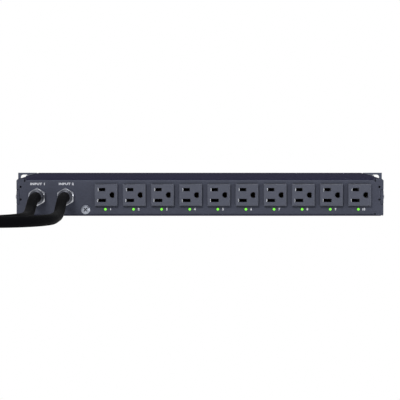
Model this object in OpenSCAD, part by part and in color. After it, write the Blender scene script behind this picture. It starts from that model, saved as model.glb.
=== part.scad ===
// Rack static transfer switch, one rack unit high, with ten outlets and two supply cords.
// +Z is up, +X is to the right seen from the outlets' side, and the outlets face -Y.
// Lengths are in millimetres. Inside the modules Y = 0 is the rear panel's outer face.

/* [Chassis] */
// Width over the cover's side walls
body_w = 432; // [424:0.5:436]
// Height over the cover, one rack unit less its clearance
body_h = 43.7; // [43:0.1:44.4]
// Length from the rear panel's face to the ears' front face
body_l = 235; // [225:1:320]
// Sheet thickness of the pan and the cover
sheet = 1.2; // [1:0.1:1.5]
// Sheet thickness of the rear and front panels
panel_t = 1.5; // [1.2:0.1:1.8]
// Outside radius of the sheet's bends
bend_r = 2.2; // [2:0.1:3]
// Depth of the panels' folded flanges
flange_l = 13; // [10:0.5:16]
// Width of the flat strip at each end of the rear panel
end_strip_w = 10.5; // [9:0.5:12]
// Lower and upper edge of the rear panel's side tabs
tab_z = [14.5, 30]; // [10:0.5:34]
// Gap between sheets that slide over each other
slip = 0.2; // [0.1:0.05:0.3]

/* [Rack ears] */
// How far an ear's flange reaches out from the side of the body
ear_reach = 25.3; // [24:0.1:26]
// Thickness of the ears
ear_t = 2; // [1.6:0.1:3]
// Length of the leg along the side
ear_leg_l = 118; // [80:1:140]
// Distance from the side of the body to the middle of a slot
ear_slot_reach = 16.55; // [16:0.05:17]
// Distance between the slots up the rack
ear_slot_pitch_z = 31.75; // [31:0.05:32]
// Length of a slot
ear_slot_l = 10.7; // [9:0.1:12]
// Height of a slot
ear_slot_h = 7; // [6.4:0.1:7.4]
// Diameter of the ears' screws
ear_screw_d = 4; // [3:0.5:5]
// Distance between the ears' screws
ear_screw_pitch = 40; // [35:1:45]
// Distance from the ears' front face to their first screw
ear_screw_edge = 18; // [14:1:24]

/* [Outlets] */
// Distance from the panel's left edge to the middle of the first outlet
outlet_left = 105.6; // [100:0.1:108]
// Distance from the middle of the last outlet to the panel's right edge
outlet_right = 28.5; // [26:0.1:32]
// Height of the outlets' middle
outlet_z = 24.85; // [24:0.05:25.5]
// Width of an outlet's face
outlet_w = 26.7; // [26:0.1:27.5]
// Height of an outlet's face
outlet_h = 26.1; // [25.5:0.1:26.5]
// How far the face stands proud of the panel
outlet_proud = 5; // [3:0.1:6]
// Depth of an outlet's body behind the panel's face
outlet_depth = 24; // [22:0.5:26]
// Ledge of the face around the panel's cutout
outlet_ledge = 1.4; // [1:0.1:1.8]
// Distance between the middles of the two blade slots
blade_pitch = 12.7; // [12.5:0.1:12.9]
// Distance from the blade slots' middle to the ground hole's middle
ground_reach = 11.9; // [11.7:0.1:12.1]
// Distance from the outlet's middle to the blade slots' middle
blade_dx = 5; // [4.5:0.1:5.3]
// Height of a blade slot
slot_t = 3; // [2.4:0.1:3.2]
// Length of the line slot
line_slot_l = 7.1; // [6.8:0.1:7.5]
// Length of the neutral slot
neutral_slot_l = 8.7; // [8.2:0.1:9]
// Width of the bevel that leads into a slot
lead_in = 0.9; // [0.5:0.1:1.2]
// Height of the ground hole
ground_hole_h = 6.6; // [6:0.1:7]
// Width of the ground hole
ground_hole_w = 5.5; // [5:0.1:6]

/* [Lights] */
// Diameter of an outlet's light
led_d = 3; // [2:0.1:4]
// Height of the outlet lights
led_z = 7.8; // [7:0.1:8.2]
// Distance from the outlet's middle to its light
led_dx = -1; // [-3:0.1:3]

/* [Supply] */
// Distances from the panel's left edge to the middles of the two glands
gland_left = [24.4, 57.9]; // [22:0.1:60]
// Height of the glands' middle
gland_z = 22.5; // [21:0.1:24]
// Width across the gland's flats
gland_af = 18.8; // [17:0.1:20]
// How far the gland stands out of the panel
gland_out = 18; // [16:0.5:24]
// Thickness of the gland's hexagon
gland_hex_l = 7; // [5:0.1:8]
// Diameter of the gland's thread
gland_thread_d = 16; // [15.6:0.1:17]
// Diameter of the supply cords
cord_d = 12; // [10:0.1:12]
// Diameter of a turn of the wound cord at its middle
coil_d = 134; // [128:1:138]
// Height of the ground screw's middle
ground_screw_z = 7.5; // [7:0.1:8]
// Distance from the panel's left edge to the middle of the ground screw
ground_screw_left = 81.4; // [78:0.1:84]
// Diameter of the ground screw's head
ground_head_d = 10.6; // [9:0.1:11]

/* [Inside] */
// Height of the main board's underside
board_z = 8; // [6:0.5:9]
// Thickness of the boards
board_t = 1.6; // [1.2:0.1:2]
// Distance from the rear panel to the main board
board_y = 44; // [40:0.5:48]
// Length of the main board
board_l = 150; // [145:1:155]
// Number of the heat sink's fins
fin_count = 11; // [7:1:12]
// Height of the heat sink
sink_h = 27; // [20:0.5:30]

/* [Hidden] */

outlet_n = 10;
round_fn = 48;            // facets of a drawn circle, taken as a true circle
fit = 0.2;                // clearance around a piece in its hole
rear_y = (gland_out - body_l) / 2;   // puts the middle of the length at Y = 0

// The sheets. The cover goes over the pan, and the panels' flanges lie between the two.
cover_in_w = body_w - 2 * sheet;
pan_w = cover_in_w - 2 * slip;
pan_in_w = pan_w - 2 * sheet;
pan_h = body_h - sheet - 3;
panel_z = [sheet, body_h - sheet];   // a panel's folded height, from the pan's floor to the cover
sheet_y = [panel_t + slip, body_l - panel_t - slip];
mid_w = body_w - 2 * end_strip_w;    // the rear panel's folded middle
strip_z = [0.6, body_h];             // the rear panel's flat end strips
relief_w = 1.3;                      // bend relief slits
hole_x = body_w / 2 - 4.8;           // the small holes in the end strips
hole_z = [19.3, 34.2];
hole_d = 2.6;
side_screw_edge = [8, 9];            // from the rear panel, and from the ear's leg
side_screw_last = body_l - ear_leg_l - side_screw_edge[1];
side_screw_y = [side_screw_edge[0], (side_screw_edge[0] + side_screw_last) / 2 + 4,
                side_screw_last];
side_screw_z = (tab_z[0] + tab_z[1]) / 2;
side_screw_d = 3;
vent_size = [3, 19];
vent_pitch = 6.5;
vent_margin = [8, 6];                // least room from a cover screw to a vent, in each group
vent_shift = [-3.75, -9.75];         // of each group from the middle between its two screws
vent_y = [for (k = [0:1]) let (room = side_screw_y[k + 1] - side_screw_y[k] - 2 * vent_margin[k],
    n = floor(room / vent_pitch)) for (i = [0:n])
    (side_screw_y[k] + side_screw_y[k + 1]) / 2 + vent_shift[k] + (i - n / 2) * vent_pitch];
ear_screw_y = [for (i = [0:2]) body_l - ear_screw_edge - i * ear_screw_pitch];
ear_inner_x = body_w / 2;
ear_screw_head = [1.9 * ear_screw_d, 0.5 * ear_screw_d];
ear_nut = [1.8 * ear_screw_d, 0.6 * ear_screw_d];
ear_screw_l = ear_t + 2 * sheet + slip + ear_nut[1] + 1;

// The outlets, evenly spread between the two margins
outlet_x1 = outlet_left - body_w / 2;
outlet_pitch = (body_w - outlet_left - outlet_right) / (outlet_n - 1);
function outlet_x(n) = outlet_x1 + (n - 1) * outlet_pitch;
outlet_body_w = outlet_w - 2 * outlet_ledge;
outlet_body_h = outlet_h - 2 * outlet_ledge;
ground_dx = ground_reach - blade_dx;
pocket_y = 1.6;                      // the pockets for the contacts start here
leaf_t = 0.6;                        // thickness of the contacts' sheet brass
leaf_gap = 1.3;                      // gap between the two leaves of a contact
leaf_w = 6;
bus_y = outlet_depth + fit;          // the buses run behind the outlets
bus_t = 0.8;
bus_end_x = outlet_x1 - 20;
bus_leg_w = 5;

// The lights
led_board_y = 5;
led_board_z = [3.2, 11.2];
led_spacer_n = 4;

// The glands and the ground screw
gland_x = gland_left - [body_w, body_w] / 2;
ground_screw_x = ground_screw_left - body_w / 2;
gland_thread_l = 11;
gland_bore_d = cord_d + 0.5;
gland_neck_d = gland_bore_d + 1.4;
gland_neck_l = 6;
gland_cap_d = gland_neck_d + 2.5;
gland_lip_l = 1.4;
locknut_t = 4;

// The boards
board_edge = 7.4;                    // from the board to the pan's side walls
board_x = [board_edge - pan_in_w / 2, pan_in_w / 2 - board_edge];
board_top = board_z + board_t;
standoff_edge = [8, 6];
standoff_pitch = (board_x[1] - board_x[0] - 2 * standoff_edge.x) / 3;
standoff_x = [for (i = [0:3]) board_x[0] + standoff_edge.x + i * standoff_pitch];
standoff_y = [board_y + standoff_edge.y, board_y + board_l - standoff_edge.y];
sink_x = [-60, 120];
sink_y = board_y + 70;
sink_w = 52;
sink_wall = 4;
front_in_y = body_l - panel_t;       // the front panel's inner face
window_size = [66, 17];
window_x = -20;
window_z = 23;
window_t = 2.2;                      // thickness of the window's rim
display_rim = [4, 3.5];
control_gap = 14;                    // from the front panel to the control board's front face
control_y = front_in_y - control_gap;
control_x = [-100, 130];
jack_size = [16, body_l + 0.2 - control_y, 13.4];
jack_deep = 12;
jack_x = 100;
jack_z = 12;
status_x = [-90, -76];
status_z = 23;
front_w = pan_in_w - 2 * slip;
front_slot = [3, 9];                 // the front panel's cooling slots
front_slot_pitch = 7;
front_slot_z = [12, 28];
front_slot_edge = 17.2;              // from the panel's end to the first slot
front_slot_x = [
    for (x = [front_slot_edge - front_w / 2:front_slot_pitch:status_x[0] - 20]) x,
    for (x = [jack_x + 30:front_slot_pitch:front_w / 2 - 15]) x];

// The cords' routes from the gland to the coil, along the surface that the switch stands on
route_a = [[-191.6, -18, 22.5], [-191.6, -30, 22.5], [-191.6, -42, 21.6], [-191.6, -54, 18.8],
    [-191.6, -66, 14.8], [-191.6, -78, 10.8], [-191.6, -90, 8], [-191.6, -102, 6.4],
    [-191.6, -114, 6], [-191.6, -140, 6], [-195.2, -160.5, 6], [-205.6, -178.6, 6],
    [-221.6, -192, 6], [-241, -199, 6], [-252, -200, 6], [-270, -200, 6], [-286, -200, 6]];
route_b = [[-158.1, -18, 22.5], [-158.1, -30, 22.5], [-158.1, -42, 21.6], [-158.1, -54, 18.8],
    [-158.1, -66, 14.8], [-158.1, -78, 10.8], [-158.1, -90, 8], [-158.1, -102, 6.4],
    [-158.1, -114, 6], [-158.1, -135, 6], [-158.1, -155, 6], [-161.7, -175.5, 6],
    [-172.1, -193.6, 6], [-188.1, -207, 6], [-207.6, -214.2, 6], [-218, -215, 6],
    [-245, -215, 6], [-275, -215, 6], [-305, -215, 6], [-335, -215, 6], [-365, -215, 6],
    [-395, -215, 6], [-425, -215, 6], [-466, -215, 6]];
coils = [[-330, -121], [-510, -136]];   // middles of the two coils
coil_wide = 36;                      // three turns side by side
coil_high = 25;                      // two turns on each other
plug_dy = 44;                        // from the coil's middle to the plug's strain relief
plug_dx = 1 - cord_d / 2;             // from the coil's side to the plug's middle
plug_relief_l = 30;
plug_l = 36;
plug_size = [27, 24];
blade_size = [6.3, 1.5, 18];
pin_d = 4.8;

// ---------- Helpers ----------

module at_rear() translate([0, rear_y, 0]) children();

// A box from one corner to the opposite one
module block(a, b) translate(a) cube(b - a);

// A drawn shape (x, z) stretched along Y from y0 to y1
module along_y(y0, y1) translate([0, y1, 0]) rotate([90, 0, 0]) linear_extrude(y1 - y0) children();

// A drawn shape (y, z) stretched along X from x0 to x1
module along_x(x0, x1) translate([x0, 0, 0]) rotate([90, 0, 90]) linear_extrude(x1 - x0) children();

// A round bar along Y from y0 to y1
module bar_y(x, z, d, y0, y1)
    translate([x, y1, z]) rotate([90, 0, 0]) cylinder(h = y1 - y0, d = d, $fn = round_fn);

// A round bar along X from x0 to x1
module bar_x(y, z, d, x0, x1)
    translate([x0, y, z]) rotate([0, 90, 0]) cylinder(h = x1 - x0, d = d, $fn = round_fn);

// A rectangle with round corners, from corner a to corner b
module round_rect(a, b, r) {
    translate([a.x + r, a.y]) square([b.x - a.x - 2 * r, b.y - a.y]);
    translate([a.x, a.y + r]) square([b.x - a.x, b.y - a.y - 2 * r]);
    for (x = [a.x + r, b.x - r], y = [a.y + r, b.y - r])
        translate([x, y]) circle(r, $fn = round_fn);
}

// A slot with round ends
module slot_outline(l, h) {
    translate([-(l - h) / 2, -h / 2]) square([l - h, h]);
    for (s = [-1, 1]) translate([s * (l - h) / 2, 0]) circle(d = h, $fn = round_fn);
}

// A bent sheet's section: the wall of a rectangle with round corners
module sheet_ring(a, b, r, t) difference() {
    round_rect(a, b, r);
    round_rect(a + [t, t], b - [t, t], r - t);
}

// Mirrors its children to the other side as well
module both_sides() {
    children();
    mirror([1, 0, 0]) children();
}

function unit(v) = v / norm(v);
function heading(p, i) = unit(p[min(i + 1, len(p) - 1)] - p[max(i - 1, 0)]);
function ring_points(p, i, r, n) =
    let (t = heading(p, i), s = unit(cross(t, [0, 0, 1])), u = cross(s, t))
    [for (k = [0:n - 1]) p[i] + r * (cos(360 * k / n) * s + sin(360 * k / n) * u)];

// A round tube swept along a route of points that never stands upright
module tube(p, d, n = 10) {
    m = len(p);
    polyhedron(
        points = [for (i = [0:m - 1]) each ring_points(p, i, d / 2, n)],
        faces = concat(
            [[for (k = [n - 1:-1:0]) k]],
            [for (i = [0:m - 2], k = [0:n - 1]) [i * n + k, i * n + (k + 1) % n, (i + 1) * n + k]],
            [for (i = [0:m - 2], k = [0:n - 1])
                [i * n + (k + 1) % n, (i + 1) * n + (k + 1) % n, (i + 1) * n + k]],
            [[for (k = [0:n - 1]) (m - 1) * n + k]]),
        convexity = 6);
}

// ---------- Chassis ----------

// Cooling slots through the side walls
module side_vents() for (y = vent_y)
    translate([0, y, side_screw_z]) cube([body_w + 10, vent_size.x, vent_size.y], center = true);

// Holes for the screws that hold the cover to the pan and the rear panel's tabs
module side_screw_holes() for (y = side_screw_y)
    bar_x(y, side_screw_z, side_screw_d + fit, -body_w, body_w);

module ear_screw_holes() for (y = ear_screw_y)
    bar_x(y, body_h / 2, ear_screw_d + fit, -body_w, body_w);

module base_pan() color("#3c3e4c") at_rear() difference() {
    along_y(sheet_y[0] - slip, sheet_y[1]) intersection() {
        sheet_ring([-pan_w / 2, 0], [pan_w / 2, body_h + 10], bend_r, sheet);
        translate([-body_w, 0]) square([2 * body_w, pan_h]);
    }
    side_vents();
    side_screw_holes();
    ear_screw_holes();
}

module top_cover() color("#2c2a3a") at_rear() difference() {
    along_y(sheet_y[0], sheet_y[1]) intersection() {
        sheet_ring([-body_w / 2, -10], [body_w / 2, body_h], bend_r + 0.6, sheet);
        translate([-body_w, 0.4]) square([2 * body_w, body_h]);
    }
    side_vents();
    side_screw_holes();
    ear_screw_holes();
}

// A panel's folded middle: the face with a flange at its foot and one at its head
module folded_face(w) along_x(-w / 2, w / 2) intersection() {
    sheet_ring([0, panel_z[0]], [3 * flange_l, panel_z[1]], bend_r, panel_t);
    square([flange_l, body_h]);
}

module rear_panel() color("#50525f") at_rear() difference() {
    union() {
        folded_face(mid_w);
        // the flat strip at each end, and the tab that is folded forward in its middle
        both_sides() {
            block([mid_w / 2 - 1, 0, strip_z[0]], [body_w / 2, panel_t, tab_z[0] - relief_w]);
            block([mid_w / 2 - 1, 0, tab_z[1] + relief_w], [body_w / 2, panel_t, strip_z[1]]);
            translate([0, 0, tab_z[0]]) linear_extrude(tab_z[1] - tab_z[0]) intersection() {
                sheet_ring([0, 0], [pan_in_w / 2 - slip, 3 * flange_l], bend_r, panel_t);
                translate([mid_w / 2 - 1, 0]) square([end_strip_w + 1, flange_l]);
            }
            block([mid_w / 2 - 1, 0, tab_z[0] - relief_w - 1],
                  [pan_in_w / 2 - bend_r - 2, panel_t, tab_z[1] + relief_w + 1]);
        }
    }
    // bend reliefs at the ends of the folds
    both_sides() for (z = [[-1, panel_z[0] + bend_r], [panel_z[1] - bend_r, body_h + 1]])
        block([mid_w / 2 - 0.01, -1, z[0]], [mid_w / 2 + relief_w, flange_l + 1, z[1]]);
    for (n = [1:outlet_n])
        translate([outlet_x(n), 0, outlet_z]) along_y(-1, panel_t + 1)
            round_rect(-[outlet_body_w, outlet_body_h] / 2 - [fit, fit],
                       [outlet_body_w, outlet_body_h] / 2 + [fit, fit], 1);
    for (n = [1:outlet_n])
        bar_y(outlet_x(n) + led_dx, led_z, led_d + fit, -1, panel_t + 1);
    for (x = gland_x) bar_y(x, gland_z, gland_thread_d + 2 * fit, -1, panel_t + 1);
    bar_y(ground_screw_x, ground_screw_z, 5 + fit, -1, panel_t + 1);
    for (x = [-hole_x, hole_x], z = hole_z) bar_y(x, z, hole_d, -1, panel_t + 1);
    both_sides() bar_x(side_screw_y[0], side_screw_z, side_screw_d + fit, 0, body_w);
    // the outer corners are broken
    both_sides() for (c = [[strip_z[0], 1.8], [strip_z[1], 2.7]])
        translate([body_w / 2, panel_t / 2, c[0]]) rotate([0, 45, 0])
            cube([c[1], 2 * panel_t, c[1]], center = true);
}

module front_panel() color("#2e2f38") at_rear() difference() {
    translate([0, body_l, 0]) mirror([0, 1, 0]) folded_face(front_w);
    along_y(front_in_y - 1, body_l + 1) {
        translate([window_x - window_size.x / 2 - fit, window_z - window_size.y / 2 - fit])
            square(window_size + 2 * [fit, fit]);
        translate([jack_x - jack_size.x / 2 - fit, jack_z - fit])
            square([jack_size.x, jack_size.z] + 2 * [fit, fit]);
        // two fields of cooling slots
        for (x = front_slot_x, z = front_slot_z) translate([x, z]) square(front_slot, center = true);
    }
    for (x = status_x) bar_y(x, status_z, led_d + fit, front_in_y - 1, body_l + 1);
}

// An ear: a leg on the chassis' side and a flange with two slots for the rack's screws
module rack_ear() difference() {
    union() {
        translate([0, 0, 0.4]) linear_extrude(body_h - 0.4) intersection() {
            translate([0, body_l]) mirror([0, 1])
                sheet_ring([ear_inner_x, 0], [2 * body_w, 2 * body_l], bend_r + 1, ear_t);
            translate([ear_inner_x, body_l - ear_leg_l])
                square([ear_reach, ear_leg_l]);
        }
    }
    for (z = [-1, 1])
        translate([ear_inner_x + ear_slot_reach, 0, body_h / 2 + z * ear_slot_pitch_z / 2])
            along_y(body_l - ear_t - 1, body_l + 1) slot_outline(ear_slot_l, ear_slot_h);
    for (y = ear_screw_y) bar_x(y, body_h / 2, ear_screw_d + fit, 0, body_w);
}

module rack_ear_right() color("#24242c") at_rear() rack_ear();
module rack_ear_left() color("#24242c") at_rear() mirror([1, 0, 0]) rack_ear();

// A cross recess for a driver, cut into a head whose top is at the origin and faces +Z
module cross_recess(size, deep) for (a = [0, 90])
    rotate([0, 0, a]) translate([0, 0, -deep / 2 + 0.01])
        cube([size, size * 0.22, deep], center = true);

// A pan head screw on the Z axis: its head stands on Z = 0 and its shank goes down
module pan_screw(d, l, head_d, head_h) difference() {
    union() {
        translate([0, 0, -l]) cylinder(h = l + 0.1, d = d, $fn = round_fn);
        cylinder(h = head_h * 0.55, d = head_d, $fn = round_fn);
        translate([0, 0, head_h * 0.55])
            cylinder(h = head_h * 0.45, d1 = head_d, d2 = head_d * 0.72, $fn = round_fn);
    }
    translate([0, 0, head_h]) cross_recess(head_d * 0.55, head_h * 0.6);
}

module ear_screws() color("silver") at_rear() both_sides() for (y = ear_screw_y)
    translate([ear_inner_x + ear_t, y, body_h / 2]) rotate([0, 90, 0])
        pan_screw(ear_screw_d, ear_screw_l, ear_screw_head[0], ear_screw_head[1]);

// Clinch nuts inside the pan's walls, one for each ear screw
module ear_nuts() color("silver") at_rear() both_sides() for (y = ear_screw_y) difference() {
    bar_x(y, body_h / 2, ear_nut[0], pan_in_w / 2 - ear_nut[1], pan_in_w / 2);
    bar_x(y, body_h / 2, ear_screw_d + 0.05, 0, body_w);
}

module cover_screws() color("silver") at_rear() both_sides() for (y = side_screw_y)
    translate([body_w / 2, y, side_screw_z]) rotate([0, 90, 0])
        pan_screw(side_screw_d, 6, side_screw_d * 1.9, 1.6);

// ---------- Outlets ----------

// A bevelled slot's mouth: it narrows from the face to the slot
module slot_bevel(w, h) hull() {
    translate([-w / 2 - lead_in, -0.02, -h / 2 - lead_in * 0.6])
        cube([w + 2 * lead_in, 0.02, h + lead_in * 1.2]);
    translate([-w / 2, 0, -h / 2]) cube([w, lead_in, h]);
}

// The ground hole's outline: round towards the blades and flat on the far side
module ground_outline(grow = 0) intersection() {
    translate([ground_hole_h / 2 - ground_hole_w / 2, 0])
        circle(ground_hole_h / 2 + grow, $fn = round_fn);
    translate([-ground_hole_w / 2 - grow, -ground_hole_h / 2 - grow])
        square([ground_hole_w + 2 * grow, ground_hole_h + 2 * grow]);
}

// A snap wedge: it lets the body slide in and then catches behind the panel
module snap_wedge() linear_extrude(9, center = true)
    polygon([[0, panel_t + 0.15], [0.9, panel_t + 0.15], [0.9, panel_t + 0.8], [0, panel_t + 6]]);

module outlet(n) color("#5d5f6c") at_rear() translate([outlet_x(n), 0, outlet_z]) difference() {
    union() {
        // the face with its bevelled rim
        hull() {
            translate([-outlet_w / 2 + 0.7, -outlet_proud, -outlet_h / 2 + 0.7])
                cube([outlet_w - 1.4, 1, outlet_h - 1.4]);
            translate([-outlet_w / 2, -outlet_proud + 0.7, -outlet_h / 2])
                cube([outlet_w, outlet_proud - 0.7, outlet_h]);
        }
        // the body behind the panel
        along_y(-0.1, outlet_depth) round_rect(
            -[outlet_body_w, outlet_body_h] / 2, [outlet_body_w, outlet_body_h] / 2, 1);
        both_sides() translate([outlet_body_w / 2 - 0.01, 0, 0]) snap_wedge();
    }
    // blade slots, the upper one for the line and the lower one for the neutral
    for (s = [[line_slot_l, 1], [neutral_slot_l, -1]])
        translate([-blade_dx, 0, s[1] * blade_pitch / 2]) {
            translate([-s[0] / 2, -outlet_proud - 1, -slot_t / 2])
                cube([s[0], outlet_proud + 1 + pocket_y + 1, slot_t]);
            translate([0, -outlet_proud, 0]) slot_bevel(s[0], slot_t);
            translate([-5, pocket_y, -2.9]) cube([10, outlet_depth, 5.8]);
        }
    // ground hole
    translate([ground_dx, 0, 0]) {
        along_y(-outlet_proud - 1, pocket_y + 1) ground_outline();
        along_y(-outlet_proud - 1, -outlet_proud + 0.5) ground_outline(lead_in * 0.7);
        translate([-4, pocket_y, -4.2]) cube([8, outlet_depth, 8.4]);
    }
}

// Two brass leaves that grip a blade, joined by a bridge behind the outlet
module leaf_pair(y0, y1) {
    for (s = [-1, 1]) translate([-leaf_w / 2, y0, s * (leaf_gap + leaf_t) / 2 - leaf_t / 2])
        cube([leaf_w, y1 - y0, leaf_t]);
    // mouths that are splayed to take the blade
    for (s = [-1, 1]) along_x(-leaf_w / 2, leaf_w / 2) polygon([
        [y0 + 0.01, s * leaf_gap / 2], [y0 + 0.01, s * (leaf_gap / 2 + leaf_t)],
        [y0 - 1.2, s * (leaf_gap / 2 + leaf_t + 0.7)], [y0 - 1.2, s * (leaf_gap / 2 + 0.7)]]);
    block([-leaf_w / 2, y1 - 0.01, -leaf_gap / 2 - leaf_t],
          [leaf_w / 2, y1 + bus_t, leaf_gap / 2 + leaf_t]);
}

// Each line contact is its own stamping with a tab, because each outlet is switched by itself
module line_contacts() color("#c8a24a") at_rear() for (n = [1:outlet_n])
    translate([outlet_x(n) - blade_dx, 0, outlet_z + blade_pitch / 2]) {
        leaf_pair(4, bus_y);
        block([-leaf_w / 2, bus_y + bus_t - 0.01, -0.4], [leaf_w / 2, bus_y + 8, 0.4]);
    }

module neutral_bus() color("#c8a24a") at_rear() {
    z = outlet_z - blade_pitch / 2;
    for (n = [1:outlet_n]) translate([outlet_x(n) - blade_dx, 0, z]) leaf_pair(4, bus_y);
    block([bus_end_x, bus_y, z - 2.6], [outlet_x(outlet_n) - blade_dx + 4, bus_y + bus_t, z + 2.6]);
    // the leg that goes down to the main board
    block([bus_end_x, bus_y, z - 2.6], [bus_end_x + bus_leg_w, board_y + 4, z - 1.8]);
    block([bus_end_x, board_y + 3.2, board_top], [bus_end_x + bus_leg_w, board_y + 4, z - 1.8]);
}

module ground_bus() color("#c8a24a") at_rear() {
    z = outlet_z;
    x_end = bus_end_x + 8;
    for (n = [1:outlet_n]) translate([outlet_x(n) + ground_dx, 0, z]) difference() {
        bar_y(0, 0, pin_d + 2 * leaf_t + 0.1, 6, bus_y + 0.1);
        bar_y(0, 0, pin_d + 0.1, 5, bus_y - 1);
        block([-0.6, 5, 0], [0.6, bus_y - 4, pin_d]);
    }
    block([x_end, bus_y, z - 2.6], [outlet_x(outlet_n) + ground_dx + 4, bus_y + bus_t, z + 2.6]);
    block([x_end, bus_y, z - 2.6], [x_end + bus_leg_w, board_y + 4, z - 1.8]);
    block([x_end, board_y + 3.2, board_top], [x_end + bus_leg_w, board_y + 4, z - 1.8]);
}

// ---------- Outlet lights ----------

module outlet_leds() color("#5cf03a") at_rear() for (n = [1:outlet_n])
    translate([outlet_x(n) + led_dx, 0, led_z]) {
        bar_y(0, 0, led_d, -0.4, led_board_y);
        bar_y(0, 0, led_d * 0.7, -0.8, 0);
        bar_y(0, 0, led_d + 0.9, led_board_y - 1.4, led_board_y);
    }

function led_spacer_x(i) = outlet_x(1) + 13 + i * 3 * outlet_pitch;

module led_board() color("#1f5a34") at_rear() difference() {
    block([outlet_x(1) - 10, led_board_y, led_board_z[0]],
          [outlet_x(outlet_n) + 16, led_board_y + board_t, led_board_z[1]]);
    for (i = [0:led_spacer_n - 1])
        bar_y(led_spacer_x(i), led_z, 3, led_board_y - 1, led_board_y + board_t + 1);
}

// Studs pressed into the rear panel, with a shoulder that the board sits on
module led_board_spacers() color("silver") at_rear() for (i = [0:led_spacer_n - 1])
    translate([led_spacer_x(i), 0, led_z]) {
        bar_y(0, 0, 5, panel_t, led_board_y);
        bar_y(0, 0, 2.9, led_board_y - 0.1, led_board_y + board_t + 2);
        bar_y(0, 0, 5, led_board_y + board_t, led_board_y + board_t + 1.2);
    }

// ---------- Supply glands and ground screw ----------

// A hexagon with upright flats, along Y
module hexagon(af) rotate(90) circle(af / sqrt(3), $fn = 6);

// A cone's frustum along Y: diameter d0 at y0 and d1 at y1
module cone_y(d0, d1, y0, y1)
    translate([0, y1, 0]) rotate([90, 0, 0]) cylinder(h = y1 - y0, d1 = d1, d2 = d0, $fn = round_fn);

module gland_body(x) color("#b9bcc4") at_rear() translate([x, 0, gland_z]) difference() {
    union() {
        // the hexagon, turned down at its corners
        intersection() {
            along_y(-gland_hex_l, 0) hexagon(gland_af);
            union() {
                bar_y(0, 0, gland_af * 1.125, -gland_hex_l + 1.4, 0);
                cone_y(gland_af * 0.95, gland_af * 1.125, -gland_hex_l, -gland_hex_l + 1.4);
            }
        }
        bar_y(0, 0, gland_thread_d, -0.1, gland_thread_l);
        bar_y(0, 0, gland_neck_d, -gland_hex_l - gland_neck_l, -gland_hex_l + 0.1);
    }
    bar_y(0, 0, gland_bore_d, -gland_out, gland_thread_l + 1);
}

module gland_cap(x) color("#8f939c") at_rear() translate([x, 0, gland_z]) difference() {
    union() {
        bar_y(0, 0, gland_cap_d, -gland_out + 2.5, -gland_hex_l);
        cone_y(gland_cap_d - 3, gland_cap_d, -gland_out, -gland_out + 2.5);
    }
    bar_y(0, 0, gland_neck_d + 0.1, -gland_out + gland_lip_l, 1);
    bar_y(0, 0, gland_bore_d + 0.3, -gland_out - 1, 1);
}

module gland_seals() color("#16161a") at_rear() for (x = gland_x) difference() {
    bar_y(x, gland_z, gland_neck_d, -gland_out + gland_lip_l + 0.1,
          -gland_hex_l - gland_neck_l - 0.1);
    bar_y(x, gland_z, cord_d + 0.1, -gland_out, 0);
}

module gland_locknuts() color("#b9bcc4") at_rear() for (x = gland_x)
    translate([x, 0, gland_z]) difference() {
        along_y(panel_t, panel_t + locknut_t) hexagon(gland_af);
        bar_y(0, 0, gland_thread_d + 0.05, 0, gland_thread_l);
    }

// The cord's end inside the chassis: its jacket, and three leads from there to a terminal block
tail_jacket_y = 30;
tail_lead_d = 3.6;
terminal_y = board_y + 12;
terminal_z = board_top + 9;
module supply_tail(x) color("#101014") at_rear() {
    bar_y(x, gland_z, cord_d, -gland_out, tail_jacket_y);
    for (k = [-1:1]) tube([
        [x + k * 3.9, tail_jacket_y + 0.1, gland_z], [x + k * 3.9, tail_jacket_y + 3, gland_z],
        [x + k * 5, tail_jacket_y + 8, gland_z - 1], [x + k * 8, tail_jacket_y + 14, gland_z - 3],
        [x + k * 10, tail_jacket_y + 20, terminal_z], [x + k * 10, terminal_y, terminal_z]],
        tail_lead_d, 8);
}

module ground_screw() color("#a9acb4") at_rear()
    translate([ground_screw_x, 0, ground_screw_z]) rotate([90, 0, 0]) rotate(45)
        pan_screw(5, 12, ground_head_d, 3.2);

module ground_nut() color("silver") at_rear() difference() {
    translate([ground_screw_x, 0, ground_screw_z]) along_y(panel_t, panel_t + 4) hexagon(8);
    bar_y(ground_screw_x, ground_screw_z, 5.05, 0, 20);
}

// ---------- Cords ----------

module coil(k) color("#141417") at_rear() translate([coils[k].x, coils[k].y, 0])
    rotate_extrude($fn = 96) translate([coil_d / 2, 0])
        round_rect([-coil_wide / 2, 0], [coil_wide / 2, coil_high], 5);

// Where a plug lies: beside its coil, in line with the turn that leaves it
function plug_at(k) = [coils[k].x - (coil_d + coil_wide) / 2 - plug_dx, coils[k].y + plug_dy,
                       plug_size.y / 2];

module plug(k) color("#17171a") at_rear() translate(plug_at(k)) {
    // strain relief with three ribs
    translate([0, plug_relief_l, 0]) rotate([90, 0, 0])
        cylinder(h = plug_relief_l, d1 = 19, d2 = cord_d + 1.5, $fn = round_fn);
    for (y = [6, 13, 20]) bar_y(0, 0, cord_d + 4.4 + y * 0.12, y, y + 3.5);
    // the moulded body, wide at the blades and waisted towards the cord
    hull() {
        along_y(plug_relief_l + plug_l - 12, plug_relief_l + plug_l)
            translate(-plug_size / 2) square(plug_size);
        along_y(plug_relief_l - 0.1, plug_relief_l + 6)
            translate([-9.5, -9.5]) square(19);
    }
}

module plug_blades(k) color("#c9c9c4") at_rear()
    translate(plug_at(k) + [0, plug_relief_l + plug_l, 0]) {
        for (s = [-1, 1])
            block([-4 - blade_size.x / 2, 0, s * blade_pitch / 2 - blade_size.y / 2],
                  [-4 + blade_size.x / 2, blade_size.z, s * blade_pitch / 2 + blade_size.y / 2]);
        bar_y(ground_reach - 4, 0, pin_d, 0, blade_size.z + 3);
    }

// ---------- Inside ----------

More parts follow.
